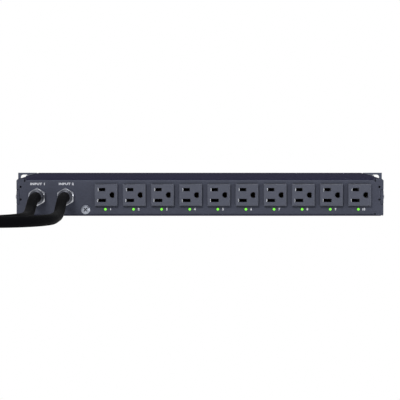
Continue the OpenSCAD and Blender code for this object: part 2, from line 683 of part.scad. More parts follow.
module main_board() color("#1f5a34") at_rear() difference() {
    block([board_x[0], board_y, board_z], [board_x[1], board_y + board_l, board_top]);
    for (x = standoff_x, y = standoff_y)
        translate([x, y, 0]) cylinder(h = body_h, d = 3.4, $fn = round_fn);
}

module board_standoffs() color("silver") at_rear() for (x = standoff_x, y = standoff_y)
    translate([x, y, sheet]) difference() {
        cylinder(h = board_z - sheet, d = 6.4, $fn = 6);
        translate([0, 0, 1]) cylinder(h = body_h, d = 3.05, $fn = round_fn);
    }

module board_screws() color("silver") at_rear() for (x = standoff_x, y = standoff_y)
    translate([x, y, board_top]) pan_screw(3, board_t + 4, 5.6, 1.8);

// An extrusion with upright fins between two thick walls, which the thyristors are held to
module heat_sink() color("#c3c6ca") at_rear() along_x(sink_x[0], sink_x[1]) {
    pitch = (sink_w - 2 * sink_wall) / (fin_count + 1);
    for (y = [0, sink_w - sink_wall]) translate([sink_y + y, board_top]) square([sink_wall, sink_h]);
    translate([sink_y, board_top + 5]) square([sink_w, 4]);
    for (i = [1:fin_count])
        translate([sink_y + sink_wall + i * pitch - 0.7, board_top + 8.9]) square([1.4, sink_h - 8.9]);
}

// Eight thyristors: one pair back to back in each pole of each supply
module thyristors() color("#1b1b1e") at_rear()
    for (i = [0:3], s = [-1, 1]) {
        x = sink_x[0] + 22 + i * 44;
        y = s < 0 ? sink_y : sink_y + sink_w;
        difference() {
            block([x - 8, min(y, y + s * 5), board_top + 4], [x + 8, max(y, y + s * 5), board_top + 25]);
            bar_y(x, board_top + 19, 3.4, y - 8, y + 8);
        }
        for (k = [-1:1]) block([x + k * 5.4 - 0.6, y + s * 2.5 - 0.3, board_top],
                               [x + k * 5.4 + 0.6, y + s * 2.5 + 0.3, board_top + 4.1]);
    }

relay_size = [15.4, 19, 15.5];
relay_y = board_y + 24;
module outlet_relays() color("#1d2f52") at_rear() for (n = [1:outlet_n])
    translate([outlet_x(n) - relay_size.x / 2, relay_y, board_top]) difference() {
        cube(relay_size);
        // the moulded case is stepped at its foot
        for (y = [-0.01, relay_size.y - 0.59]) translate([-1, y, -0.01]) cube([30, 0.6, 1.6]);
    }

sensor_x = gland_x + [9.6, 8.1];
sensor_y = board_y + 60;
module current_sensors() color("#2a2a2e") at_rear() for (x = sensor_x) {
    difference() {
        bar_y(x, board_top + 13, 24, sensor_y, sensor_y + 11);
        bar_y(x, board_top + 13, 10, sensor_y - 1, sensor_y + 12);
    }
    block([x - 9, sensor_y, board_top], [x + 9, sensor_y + 11, board_top + 3.5]);
}

module supply_transformers() color("#202024") at_rear() for (x = sensor_x)
    translate([x - 14, board_y + 92, board_top]) difference() {
        cube([28, 36, 27]);
        for (x = [0, 28]) translate([x, 18, 27]) rotate([0, 45, 0])
            cube([2, 80, 2], center = true);
    }

module capacitors() color("#23232b") at_rear() for (i = [0:3])
    translate([outlet_x1 - 1.6 + i % 2 * 22, board_y + 78 + floor(i / 2) * 24, board_top]) difference() {
        cylinder(h = 26, d = 16, $fn = round_fn);
        translate([0, 0, 3]) rotate_extrude($fn = round_fn) translate([7.4, 0]) square([2, 1.2]);
    }

module terminal_blocks() color("#26262a") at_rear() for (x = gland_x)
    translate([x - 16, terminal_y, board_top]) difference() {
        cube([32, 14, 17]);
        for (k = [-1:1]) translate([16 + k * 10 - 4, -1, 12]) cube([8, 16, 6]);
        for (k = [-1:1]) translate([16 + k * 10, 7, 8]) cylinder(h = 10, d = 4, $fn = round_fn);
    }

// One lead from each line contact's tab down to the board
module line_leads() color("#101014") at_rear() for (n = [1:outlet_n]) {
    x = outlet_x(n) - blade_dx;
    z = outlet_z + blade_pitch / 2;
    tube([[x, bus_y + 8, z], [x, bus_y + 12, z], [x, bus_y + 17, z - 2.5], [x, bus_y + 22, z - 8],
          [x, bus_y + 25, board_top + 5], [x, bus_y + 27, board_top + 1.2]], 2.4, 8);
}

module control_board() color("#1f5a34") at_rear()
    block([control_x[0], control_y - board_t, sheet + panel_t + 0.3],
          [control_x[1], control_y, body_h - sheet - panel_t - 0.3]);

// A block behind the window's opening, larger than it by grow on each side
module window_block(grow, y0, y1) {
    half = window_size / 2 + grow;
    block([window_x - half.x, y0, window_z - half.y], [window_x + half.x, y1, window_z + half.y]);
}

module display() color("#2b3a2e") at_rear() difference() {
    window_block(display_rim, control_y, front_in_y - window_t);
    window_block([-2, -2], front_in_y - window_t - 1, front_in_y);
}

module display_window() color("#15181c", 0.6) at_rear() {
    window_block([0, 0], front_in_y - 0.1, body_l - 0.3);
    window_block([2, 2], front_in_y - window_t, front_in_y);
}

// A shielded network socket, with the notch for the plug's latch at its foot
module network_jack() color("#a9acb4") at_rear()
    translate([jack_x - jack_size.x / 2, control_y, jack_z]) difference() {
        cube(jack_size);
        translate([2.1, jack_size.y - jack_deep, 4.2]) cube([11.8, 20, 7.2]);
        translate([4.9, jack_size.y - jack_deep, 2]) cube([6.2, 20, 3]);
    }

module status_leds() color("#5cf03a") at_rear() for (x = status_x) {
    bar_y(x, status_z, led_d, control_y, body_l);
    bar_y(x, status_z, led_d * 0.7, body_l - 0.1, body_l + 0.5);
    bar_y(x, status_z, led_d + 0.9, control_y, control_y + 1.2);
}

// ---------- The nodes ----------

base_pan();
top_cover();
rear_panel();
front_panel();
rack_ear_left();
rack_ear_right();
ear_screws();
ear_nuts();
cover_screws();
for (n = [1:outlet_n]) outlet(n);
line_contacts();
neutral_bus();
ground_bus();
outlet_leds();
led_board();
led_board_spacers();
gland_body(gland_x[0]);  // gland_body_a
gland_body(gland_x[1]);  // gland_body_b
gland_cap(gland_x[0]);  // gland_cap_a
gland_cap(gland_x[1]);  // gland_cap_b
gland_seals();
gland_locknuts();
supply_tail(gland_x[0]);  // supply_tail_a
supply_tail(gland_x[1]);  // supply_tail_b
color("#141417") at_rear() tube(route_a, cord_d);  // cord_a
coil(0);  // cord_a_coil
plug(0);  // plug_a
plug_blades(0);  // plug_a_blades
color("#141417") at_rear() tube(route_b, cord_d);  // cord_b
coil(1);  // cord_b_coil
plug(1);  // plug_b
plug_blades(1);  // plug_b_blades
ground_screw();
ground_nut();
main_board();
board_standoffs();
board_screws();
heat_sink();
thyristors();
outlet_relays();
current_sensors();
supply_transformers();
capacitors();
terminal_blocks();
line_leads();
control_board();
display();
display_window();
network_jack();
status_leds();
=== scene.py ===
# %% [markdown]
# # A rack static transfer switch, dressed in Blender
#
# The switch is a flat sheet-metal box for one unit of a 19 inch rack. Ten outlets face us, and two
# thick supply cords come out of glands at the left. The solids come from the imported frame, and this
# lesson adds what a solid model lacks: the cords at their real length, the printing on the panel,
# the lenses of the lights, and a finish for every surface.

# %% Load the frame
import math
import bpy
import bmesh
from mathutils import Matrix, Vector


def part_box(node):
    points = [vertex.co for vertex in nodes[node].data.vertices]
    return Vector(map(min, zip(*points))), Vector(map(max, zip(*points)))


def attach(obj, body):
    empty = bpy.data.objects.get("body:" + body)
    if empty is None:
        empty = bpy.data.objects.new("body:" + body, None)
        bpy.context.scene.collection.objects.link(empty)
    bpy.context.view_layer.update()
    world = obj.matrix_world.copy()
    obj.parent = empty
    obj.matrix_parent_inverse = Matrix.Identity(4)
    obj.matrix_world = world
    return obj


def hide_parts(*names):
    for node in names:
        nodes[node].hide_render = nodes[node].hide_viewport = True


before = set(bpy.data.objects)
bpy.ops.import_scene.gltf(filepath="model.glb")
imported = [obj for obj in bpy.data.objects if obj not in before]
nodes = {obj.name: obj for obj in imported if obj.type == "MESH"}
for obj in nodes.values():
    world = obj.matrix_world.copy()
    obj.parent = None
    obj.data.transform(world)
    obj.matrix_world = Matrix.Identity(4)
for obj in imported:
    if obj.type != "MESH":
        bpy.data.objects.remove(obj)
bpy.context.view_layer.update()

MM = 0.001

# %% [markdown]
# ## Places that the rest is worked out from
#
# Everything is measured from the rear panel's outer face, which is the lowest Y of that node. The
# outlets are evenly spaced, so the first one and the distance to the second place all ten.

# %% Name the main places
PANEL_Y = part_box("rear_panel")[0][1]
OUTLET_COUNT = 10


def middle(node):
    """The middle of a node's box."""
    low, high = (Vector(corner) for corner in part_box(node))
    return (low + high) / 2


def at_panel(x, y, z):
    """A point given in millimetres from the rear panel's outer face, as a vector in metres."""
    return Vector((x * MM, PANEL_Y + y * MM, z * MM))


first_outlet = middle("outlet_1")
OUTLET_PITCH = middle("outlet_2").x - first_outlet.x
OUTLET_FACE_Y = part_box("outlet_1")[0][1]
LED_Z = middle("outlet_leds").z
LED_DX = -1.0 * MM
print("panel face", round(PANEL_Y, 4), "outlet pitch", round(OUTLET_PITCH, 4))

# %% [markdown]
# ## The camera
#
# A long lens far behind the switch flattens its perspective, so the panel's two ends look alike and
# only a sliver of the cover shows. The camera stands about ten centimetres above the surface and
# looks slightly down. It comes first, because the cords are laid around what it sees.

# %% Place the camera
VIEW_DISTANCE = 1.815
VIEW_HEIGHT = 0.1065
VIEW_PITCH = math.radians(2.767)
camera_data = bpy.data.cameras.new("view_camera")
camera_data.lens = 138.93
camera_data.sensor_width = 36.0
camera = bpy.data.objects.new("view_camera", camera_data)
camera.location = (0.0, PANEL_Y - VIEW_DISTANCE, VIEW_HEIGHT)
camera.rotation_euler = (math.pi / 2 - VIEW_PITCH, 0.0, 0.0)
bpy.context.scene.collection.objects.link(camera)
bpy.context.scene.camera = camera
bpy.context.scene.view_settings.view_transform = "Standard"
print("camera at", [round(v, 3) for v in camera.location])

# %% [markdown]
# ## Helpers for modelling by hand
#
# So every new primitive starts from a clean selection, and its faces are then picked in code by
# their place.

# %% Selection helpers


def start_clean():
    """Leaves edit mode and selects nothing."""
    if bpy.context.object and bpy.context.object.mode != "OBJECT":
        bpy.ops.object.mode_set(mode="OBJECT")
    bpy.ops.object.select_all(action="DESELECT")


def make_active(*pieces):
    """Selects only these pieces, and makes the first one active."""
    start_clean()
    for piece in pieces:
        piece.select_set(True)
    bpy.context.view_layer.objects.active = pieces[0]


def pick_faces(piece, wanted):
    """Enters edit mode with just the faces selected for which wanted(centre, normal) is true."""
    make_active(piece)
    bpy.ops.object.mode_set(mode="EDIT")
    bpy.ops.mesh.select_mode(type="FACE")
    mesh = bmesh.from_edit_mesh(piece.data)
    for face in mesh.faces:
        face.select_set(False)
    chosen = [face for face in mesh.faces if wanted(face.calc_center_median(), face.normal)]
    for face in chosen:
        face.select_set(True)
    bmesh.update_edit_mesh(piece.data)
    return len(chosen)


def finish_piece(piece, name, finish, smooth_angle=35):
    """Puts the piece's place into its mesh, names it, and gives it a material and a body."""
    make_active(piece)
    for modifier in list(piece.modifiers):
        bpy.ops.object.modifier_apply(modifier=modifier.name)
    bpy.ops.object.transform_apply(location=True, rotation=True, scale=True)
    bpy.ops.object.shade_smooth_by_angle(angle=math.radians(smooth_angle))
    piece.name = piece.data.name = name
    piece.data.materials.clear()
    piece.data.materials.append(finish.material)
    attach(piece, "root")
    return piece


# %% [markdown]
# ## Shader sums as plain Python
#
# A finish is easier to read as a sum than as a web of boxes. The class below wraps a socket, and
# each operator adds one Math node to the same material. Every other node comes from one method,
# which takes the node's type, its settings and its inputs.

# %% The socket class and the material class


class Wire:
    """A socket that takes part in sums: each operator adds a Math node behind it."""

    def __init__(self, finish, socket):
        self.finish = finish
        self.socket = socket

    def _math(self, operation, *values):
        return self.finish.node("ShaderNodeMath", {"operation": operation}, dict(enumerate(values)))

    def __add__(self, other):
        return self._math("ADD", self, other)

    def __sub__(self, other):
        return self._math("SUBTRACT", self, other)

    def __rsub__(self, other):
        return self._math("SUBTRACT", other, self)

    def __mul__(self, other):
        return self._math("MULTIPLY", self, other)

    __radd__ = __add__
    __rmul__ = __mul__

    def __gt__(self, other):
        return self._math("GREATER_THAN", self, other)

    def __lt__(self, other):
        return self._math("LESS_THAN", self, other)

    def __abs__(self):
        return self._math("ABSOLUTE", self)

    def wrap(self, low, high):
        """Repeats the value between low and high, as a tape measure that starts again."""
        return self._math("WRAP", self, high, low)


class Finish:
    """A material that is built up node by node."""

    def __init__(self, name):
        self.material = bpy.data.materials.new(name)
        self.material.use_nodes = True
        self.tree = self.material.node_tree
        self.tree.nodes.clear()
        self.output = self.tree.nodes.new("ShaderNodeOutputMaterial")

    def node(self, kind, settings=None, inputs=None, output=0):
        """Adds a node: first its settings, then a value or a wire for each input."""
        added = self.tree.nodes.new(kind)
        for key, value in (settings or {}).items():
            if key == "stops":
                ramp = added.color_ramp
                for element, (place, colour) in zip(ramp.elements, value):
                    element.position, element.color = place, colour
                for place, colour in value[2:]:
                    ramp.elements.new(place).color = colour
            else:
                setattr(added, key, value)
        for key, value in (inputs or {}).items():
            if isinstance(value, Wire):
                self.tree.links.new(value.socket, added.inputs[key])
            else:
                added.inputs[key].default_value = value
        return Wire(self, added.outputs[output])

    def place(self, scale=(1, 1, 1), turn=(0, 0, 0)):
        """Object coordinates, stretched and turned by a Mapping node."""
        here = self.node("ShaderNodeTexCoord", output="Object")
        return self.node("ShaderNodeMapping", {},
                         {"Vector": here, "Scale": scale, "Rotation": turn})

    def noise(self, size, detail=2.0, stretch=(1, 1, 1), rough=0.5):
        """Noise between 0 and 1 whose blots are about `size` metres across."""
        return self.node("ShaderNodeTexNoise", {}, {
            "Vector": self.place(stretch), "Scale": 1 / size, "Detail": detail, "Roughness": rough})

    def blend(self, factor, first, second):
        """Mixes two colours."""
        return self.node("ShaderNodeMix", {"data_type": "RGBA"},
                         {0: factor, 6: first, 7: second}, 2)

    def bump(self, height, strength, depth):
        """Turns a height between 0 and 1 into a normal. `depth` is in metres."""
        return self.node("ShaderNodeBump", {}, {
            "Height": height, "Strength": strength, "Distance": depth})

    def surface(self, **inputs):
        """Ends the material in a Principled shader. Underscores in names stand for spaces."""
        named = {key.replace("_", " "): value for key, value in inputs.items()}
        shader = self.node("ShaderNodeBsdfPrincipled", {}, named)
        self.tree.links.new(shader.socket, self.output.inputs["Surface"])
        return self


def tone(red, green, blue):
    """A colour given as on a colour chart, 0 to 255, turned into the linear light of a shader."""
    values = []
    for value in (red, green, blue):
        value /= 255
        values.append(value / 12.92 if value <= 0.04045 else ((value + 0.055) / 1.055) ** 2.4)
    return (*values, 1.0)


# %% [markdown]
# ## The cords' finish
#
# A heavy supply cord has a soft black rubber jacket. It is matt, with faint streaks from the
# extruder along its length, and it picks up a little grey dust. The streaks are left to a fine
# bump, and the dust to a slow change of colour and roughness.

# %% Black cord jacket


def jacket_finish(name, dark, light):
    f = Finish(name)
    dust = f.noise(0.012, 4)
    grain = f.noise(0.0006, 2)
    return f.surface(Base_Color=f.blend(dust, dark, light), Roughness=0.66 + dust * 0.2,
                     Normal=f.bump(grain, 0.25, 0.0001), Specular_IOR_Level=0.05)


jacket = jacket_finish("black_jacket", tone(2, 2, 4), tone(6, 6, 9))

# %% [markdown]
# ## The two supply cords
#
# Each cord is 12 mm thick, and they are 2.6 m and 2.8 m long. A cord leaves its gland straight,
# bends down under its own weight, lies on the floor and runs off to the left, where the rest is
# wound into a flat round coil: three turns, and a little over two more on top of them. A stiff cord
# doesn't bend tighter than four of its diameters, so the corner and the turns are wide. A swept mesh
# is used, because the path of a coil has to be known exactly, and a ring of points keeps its size
# round every bend.

# %% The routes, in millimetres from the rear panel's face
CORD_D = 12.0
COIL_MIDDLE = {"a": (-330.0, -121.0), "b": (-510.0, -136.0)}
COIL_ACROSS = {"a": 134.0, "b": 134.0}
ROUTE = {
    "a": [(-191.6, -18, 22.5), (-191.6, -30, 22.5), (-191.6, -42, 21.6), (-191.6, -54, 18.8),
          (-191.6, -66, 14.8), (-191.6, -78, 10.8), (-191.6, -90, 8), (-191.6, -102, 6.4),
          (-191.6, -114, 6), (-191.6, -140, 6), (-195.2, -160.5, 6), (-205.6, -178.6, 6),
          (-221.6, -192, 6), (-241, -199, 6), (-252, -200, 6), (-270, -200, 6), (-286, -200, 6)],
    "b": [(-158.1, -18, 22.5), (-158.1, -30, 22.5), (-158.1, -42, 21.6), (-158.1, -54, 18.8),
          (-158.1, -66, 14.8), (-158.1, -78, 10.8), (-158.1, -90, 8), (-158.1, -102, 6.4),
          (-158.1, -114, 6), (-158.1, -135, 6), (-158.1, -155, 6), (-161.7, -175.5, 6),
          (-172.1, -193.6, 6), (-188.1, -207, 6), (-207.6, -214.2, 6), (-218, -215, 6),
          (-245, -215, 6), (-275, -215, 6), (-305, -215, 6), (-335, -215, 6), (-365, -215, 6),
          (-395, -215, 6), (-425, -215, 6), (-466, -215, 6)],
}

# %% [markdown]
# ## How a coil is laid
#
# Seen from above the cord comes in at the coil's south side, heads west and winds clockwise. On the
# floor each turn moves in by one diameter just before it would meet the start of the one before.
# The third turn climbs onto the others, and the turns on top move out again. Each of the three
# moves has its own stretch of the circle, so no two turns are ever closer than a diameter.

# %% Points of a coil
TURNS = 5
POINTS_PER_TURN = 36
LAYER_LOW = 6.5
MOVE_OUT = (90, 170)
CLIMB = (170, 250)
MOVE_IN = (250, 360)
LEAVE_BY = 9.0
LEAVE_DROP = 3.5


def eased(x):
    """Goes from 0 to 1 with the gentlest possible bend: one parabola up and one down."""
    x = min(max(x, 0.0), 1.0)
    return 2 * x * x if x < 0.5 else 1 - 2 * (1 - x) ** 2


def share(angle, stretch):
    return eased((angle - stretch[0]) / (stretch[1] - stretch[0]))


def coil_point(centre, outer, turn, angle):
    """Where the cord is after `turn` whole turns and `angle` more degrees."""
    radius, height = outer - CORD_D * min(turn, 2), LAYER_LOW
    if turn < 2:
        radius -= CORD_D * share(angle, MOVE_IN)
    elif turn == 2:
        height += CORD_D * share(angle, CLIMB)
    elif turn < TURNS:
        radius = outer - CORD_D * (TURNS - turn - share(angle, MOVE_OUT))
        height += CORD_D
    else:
        radius = outer + LEAVE_BY * share(angle, (0, 90))
        height += CORD_D - LEAVE_DROP * share(angle, (30, 90))
    a = math.radians(angle)
    return Vector((centre[0] - radius * math.sin(a), centre[1] - radius * math.cos(a), height))


def coil_points(key):
    points = []
    for step in range(1, int((TURNS + 0.25) * POINTS_PER_TURN) + 1):
        turn, rest = divmod(step, POINTS_PER_TURN)
        points.append(coil_point(COIL_MIDDLE[key], COIL_ACROSS[key] / 2 + CORD_D, turn,
                                 rest * 360 / POINTS_PER_TURN))
    return points


# %% Smooth the listed points and join the parts of the path


def rounded(points, spacing):
    """A smooth curve through the points, with a point about every `spacing` millimetres."""
    out = [points[0]]
    for i in range(len(points) - 1):
        before, start = points[max(i - 1, 0)], points[i]
        end, after = points[i + 1], points[min(i + 2, len(points) - 1)]
        steps = max(1, round((end - start).length / spacing))
        for k in range(1, steps + 1):
            t = k / steps
            out.append(0.5 * (2 * start + (end - before) * t
                              + (2 * before - 5 * start + 4 * end - after) * t * t
                              + (3 * start - before - 3 * end + after) * t ** 3))
    return out


def cord_path(key):
    """The whole path of one cord in metres: the route, the coil, and the way to the plug."""
    route = [Vector(point) for point in ROUTE[key]]
    centre = COIL_MIDDLE[key]
    entry = Vector((centre[0], centre[1] - COIL_ACROSS[key] / 2 - CORD_D, LAYER_LOW))
    route += [(route[-1] + entry) / 2, entry]
    points = rounded(route, 8.0) + coil_points(key)
    plug_low, plug_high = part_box(f"plug_{key}")
    plug_end = Vector(((plug_low[0] + plug_high[0]) / 2, plug_low[1] - PANEL_Y,
                       (plug_low[2] + plug_high[2]) / 2)) / MM
    leave = points[-1]
    for step in range(1, 5):
        s = step / 4
        points.append(Vector((leave.x + (plug_end.x - leave.x) * eased(s),
                              leave.y + (plug_end.y - leave.y) * s,
                              leave.z + (plug_end.z - leave.z) * s)))
    return [at_panel(*point) for point in points]


# %% Sweep a ring of points along a path
CORD_SIDES = 24


def swept_tube(path, radius, name):
    """A closed tube along a path. The ring is carried from point to point without twisting."""
    mesh = bmesh.new()
    rings = []
    side = Vector((1, 0, 0))
    for i, point in enumerate(path):
        heading = (path[min(i + 1, len(path) - 1)] - path[max(i - 1, 0)]).normalized()
        side = (side - heading * side.dot(heading)).normalized()
        up = heading.cross(side)
        turns = [2 * math.pi * k / CORD_SIDES for k in range(CORD_SIDES)]
        rings.append([mesh.verts.new(point + radius * (math.cos(a) * side + math.sin(a) * up))
                      for a in turns])
    for ring, after in zip(rings, rings[1:]):
        for k in range(CORD_SIDES):
            n = (k + 1) % CORD_SIDES
            mesh.faces.new((ring[k], ring[n], after[n], after[k]))
    mesh.faces.new(rings[0][::-1])
    mesh.faces.new(rings[-1])
    bmesh.ops.recalc_face_normals(mesh, faces=mesh.faces)
    data = bpy.data.meshes.new(name)
    mesh.to_mesh(data)
    mesh.free()
    tube = bpy.data.objects.new(name, data)
    bpy.context.scene.collection.objects.link(tube)
    return tube


# %% [markdown]
# ## The ties that hold a coil
#
# Two hook-and-loop straps hold each bundle, one on each side of the coil. Each is modelled from a
# cube the size of the bundle's section: its ends are deleted, the four long edges are rounded, and
# Solidify gives the band its thickness. Then it is turned about the coil's middle.

# %% One strap round a coil's section
STRAP_WIDTH = 14.0
STRAP_THICK = 0.5
STRAP_ANGLES = (25, 205)


def strap(key, number, angle):
    """A band round the bundle, at `angle` degrees clockwise from south."""
    across, high = 3 * CORD_D + 0.4, 2 * CORD_D + 0.2
    a = math.radians(angle)
    radius = COIL_ACROSS[key] / 2
    spot = at_panel(COIL_MIDDLE[key][0] - radius * math.sin(a),
                    COIL_MIDDLE[key][1] - radius * math.cos(a), STRAP_THICK + high / 2)
    start_clean()
    bpy.ops.mesh.primitive_cube_add(size=1, location=spot)
    band = bpy.context.object
    band.scale = (across * MM, STRAP_WIDTH * MM, high * MM)
    bpy.ops.object.transform_apply(location=False, rotation=False, scale=True)
    pick_faces(band, lambda centre, normal: abs(normal.y) > 0.9)
    bpy.ops.mesh.delete(type="ONLY_FACE")
    bpy.ops.mesh.select_mode(type="EDGE")
    mesh = bmesh.from_edit_mesh(band.data)
    for edge in mesh.edges:
        along = edge.verts[1].co - edge.verts[0].co
        edge.select_set(abs(along.y) > 0.9 * along.length)
    bmesh.update_edit_mesh(band.data)
    bpy.ops.mesh.bevel(offset=5.5 * MM, segments=5)
    bpy.ops.object.mode_set(mode="OBJECT")
    band.rotation_euler = (0, 0, math.pi / 2 - a)
    thick = band.modifiers.new("thickness", "SOLIDIFY")
    thick.thickness = STRAP_THICK * MM
    thick.offset = 1
    return finish_piece(band, f"coil_strap_{key}_{number}", strap_finish)


def strap_weave():
    f = Finish("strap_weave")
    weave = f.noise(0.0005, 2, (1, 1, 0.4))
    return f.surface(Base_Color=f.blend(weave, tone(20, 20, 22), tone(44, 44, 48)), Roughness=0.85,
                     Normal=f.bump(weave, 0.6, 0.0003))


strap_finish = strap_weave()

# %% Lay both cords
for key in "ab":
    path = cord_path(key)
    tube = swept_tube(path, CORD_D / 2 * MM, f"supply_cord_{key}")
    finish_piece(tube, f"supply_cord_{key}", jacket, 60)
    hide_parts(f"cord_{key}", f"cord_{key}_coil")
    straps = [strap(key, i + 1, angle) for i, angle in enumerate(STRAP_ANGLES)]
    length = sum((q - p).length for p, q in zip(path, path[1:]))
    print("cord", key, len(path), "points,", round(length, 3), "m")

# %% [markdown]
# ## Powder coat
#
# The chassis is sprayed with a dark slate powder and baked. The coat melts into a skin with a fine
# orange peel, and it never comes out quite even. A small noise gives the peel as a bump, and two
# larger ones shift the colour a little. All of them read Object coordinates, so the pattern keeps
# its size on every panel.

# %% Powder coats


def powder_coat(name, colour, spread=1.0, specular=0.3, rough=0.6):
    """A powder coat around one colour. `spread` sets how uneven it is."""
    f = Finish(name)
    speckle = f.noise(0.0016, 3, rough=0.7)
    cloud = f.noise(0.035, 2)
    peel = f.noise(0.0005, 2)
    dark = tone(*[c * (1 - 0.17 * spread) for c in colour])
    light = tone(*[c * (1 + 0.17 * spread) for c in colour])
    shade = speckle * 0.7 + cloud * 0.3
    return f.surface(Base_Color=f.blend(shade, dark, light), Roughness=rough + speckle * 0.12,
                     Normal=f.bump(peel, 0.35, 0.00008), Specular_IOR_Level=specular)


panel_coat = powder_coat("panel_powder_coat", (63, 66, 79), 1.25)
# the cover and base pan share the panel's paint; this darker, duller copy of it is painted shade
shaded_cover_coat = powder_coat("shaded_cover_powder_coat", (41, 40, 60), 0.8, 0.05, 0.85)
ear_coat = powder_coat("ear_powder_coat", (72, 77, 92))
front_coat = powder_coat("front_powder_coat", (44, 45, 54), 0.8)

# %% [markdown]
# ## Moulded outlets
#
# The outlets are moulded in a slightly lighter grey thermoplastic. The mould was spark-eroded,
# which leaves a fine even grain. The grain stops at the bevels that lead a blade into its slot:
# they were polished, so that a plug slides in. Masks find them by their depth behind the face and
# their distance from the middle of their own outlet. The bevel at a slot's left end, which faces the
# strip lamp, is given a painted highlight: a pale base colour. The long bevels and the walls behind
# them are given painted shade: a near-black base colour.

# %% Outlet plastic


FACE_HALF = 12.0 * MM              # how far the openings can be from their outlet's middle
GROUND_SIDE = 1.0 * MM             # the ground hole lies beyond this, the slots before it
JUST_INSIDE = 0.03 * MM            # depths behind the face: past the face itself,
SLOT_SHADE_DEPTH = 0.28 * MM              # where painted shade starts on a slot's long bevels,
GROUND_SHADE_DEEPER = 0.24 * MM          # how much deeper that painted shade starts round the ground hole,
BEVEL_END = 0.88 * MM              # and where the bevels end
FACES_RIGHT = 0.25                 # least X of the normal on a slot's left end, which gets a painted highlight


def axes(f, output):
    """The X, Y and Z of one output of the texture coordinates, as wires."""
    here = f.node("ShaderNodeTexCoord", output=output)
    split = f.node("ShaderNodeSeparateXYZ", {}, {"Vector": here}).socket.node
    return [Wire(f, split.outputs[axis]) for axis in "XYZ"]


def outlet_plastic(name):
    f = Finish(name)
    x, y, _ = axes(f, "Object")
    offset = (x - first_outlet.x).wrap(-OUTLET_PITCH / 2, OUTLET_PITCH / 2)
    across = abs(offset)
    painted_shade_from = SLOT_SHADE_DEPTH + GROUND_SHADE_DEEPER * (offset > GROUND_SIDE)
    highlighted_end_bevel = axes(f, "Normal")[0] > FACES_RIGHT
    recessed = (y > OUTLET_FACE_Y + JUST_INSIDE) * (across < FACE_HALF)
    painted_shade_deep = (y > OUTLET_FACE_Y + painted_shade_from) * (1 - highlighted_end_bevel * (y < OUTLET_FACE_Y + BEVEL_END))
    grain = f.noise(0.0011, 3, rough=0.7)
    fine = f.noise(0.00035, 2)
    face = f.blend(grain, tone(65, 68, 80), tone(89, 92, 104))
    # the bevels at the slots' left ends get a pale base colour: a painted highlight
    bevel = f.blend(recessed * highlighted_end_bevel, face, tone(190, 192, 198))
    # deeper in the openings the colour goes near black: painted shade
    colour = f.blend(painted_shade_deep * (across < FACE_HALF), bevel, tone(8, 8, 10))
    return f.surface(Base_Color=colour, Roughness=0.5 - recessed * 0.22 + grain * 0.1,
                     Normal=f.bump(fine * (1 - recessed), 0.3, 0.00008), Specular_IOR_Level=0.3)


outlet_finish = outlet_plastic("outlet_plastic")

# %% [markdown]
# ## Metals
#
# Turned and plated parts differ in their polish more than in their colour. One function makes them
# all: a base tint, a slow stain, and fine marks that are stretched along the way the part was cut.
# Where something hollows a face, such as a cap in a nut or the cross in a screw, a mask darkens
# the metal there as painted shade.

# %% Plated and bare metals


def metal(name, dark, light, rough=0.3, marks=(1, 1, 1), size=0.0006, strength=0.2, shade_mask=None):
    """A metal finish. An optional mask function picks a hollow that is given painted shade."""
    f = Finish(name)
    stain = f.noise(0.006, 3)
    scratch = f.noise(size, 3, marks)
    colour = f.blend(stain, dark, light)
    if shade_mask:
        # the hollow is darkened to a grey: painted shade
        colour = f.blend(shade_mask(f), colour, tone(34, 35, 40))
    return f.surface(Base_Color=colour, Metallic=1.0,
                     Roughness=rough + stain * 0.12 + scratch * 0.08,
                     Normal=f.bump(scratch, strength, 0.00005))


def near_axis(x, z, middle_point, reach):
    """1 within `reach` of the line along Y through a point."""
    dx, dz = x - middle_point.x, z - middle_point.z
    return dx * dx + dz * dz < reach * reach


NUT_SHADE_REACH = 8.7 * MM              # the painted shade on a nut's face ends this far from its middle, where its bright edge starts
CROSS_REACH = 3.1 * MM             # half of the cross in the ground screw's head
CROSS_TOP = 3.05 * MM              # the head's crown stands out this far from the panel


def inside_of_nut(f):
    """The faces of the two gland nuts within their bright edges, which are given painted shade."""
    x, _, z = axes(f, "Object")
    near = [near_axis(x, z, gland, NUT_SHADE_REACH) for gland in GLAND_MIDDLES]
    return (near[0] + near[1]) * 0.75


def screw_recess(f):
    """The floor and walls of the cross in the ground screw's head, which are given painted shade."""
    x, y, z = axes(f, "Object")
    near = near_axis(x, z, middle("ground_screw"), CROSS_REACH)
    return near * (y > PANEL_Y - CROSS_TOP) * 0.8


GLAND_MIDDLES = [middle("gland_cap_a"), middle("gland_cap_b")]
nickel = metal("bright_nickel", tone(150, 152, 158), tone(200, 202, 208), 0.24,
               shade_mask=inside_of_nut)
cap_nickel = metal("dull_nickel", tone(84, 86, 94), tone(112, 114, 122), 0.34)
zinc = metal("zinc_plate", tone(150, 152, 158), tone(190, 191, 196), 0.34)
ground_steel = metal("ground_screw_steel", tone(150, 154, 164), tone(176, 180, 190), 0.42,
                     shade_mask=screw_recess)
# this brass is far darker than bright brass: painted shade for contacts deep in the slots
brass = metal("contact_brass", tone(44, 34, 18), tone(60, 47, 26), 0.5)
blade_nickel = metal("blade_nickel", tone(168, 165, 156), tone(200, 197, 188), 0.25, (1, 0.1, 1))
sink_alloy = metal("extruded_alloy", tone(160, 163, 168), tone(190, 193, 197), 0.4, (0.06, 1, 1))
jack_shell = metal("jack_shell", tone(170, 172, 176), tone(200, 202, 206), 0.28, (1, 0.15, 1))

# %% [markdown]
# ## Plastics, rubber and boards
#
# The rest is moulded or laminated. Each gets a base colour that changes a little and a bump at the
# size of its own grain. The boards show their copper tracks as a faint grid under green lacquer.

# %% Plain mouldings and rubber


def moulding(name, dark, light, rough=0.5, grain_size=0.0005, strength=0.25, specular=0.4):
    f = Finish(name)
    blotch = f.noise(0.008, 3)
    grain = f.noise(grain_size, 2)
    return f.surface(Base_Color=f.blend(blotch, dark, light), Roughness=rough + blotch * 0.12,
                     Normal=f.bump(grain, strength, 0.00008), Specular_IOR_Level=specular)


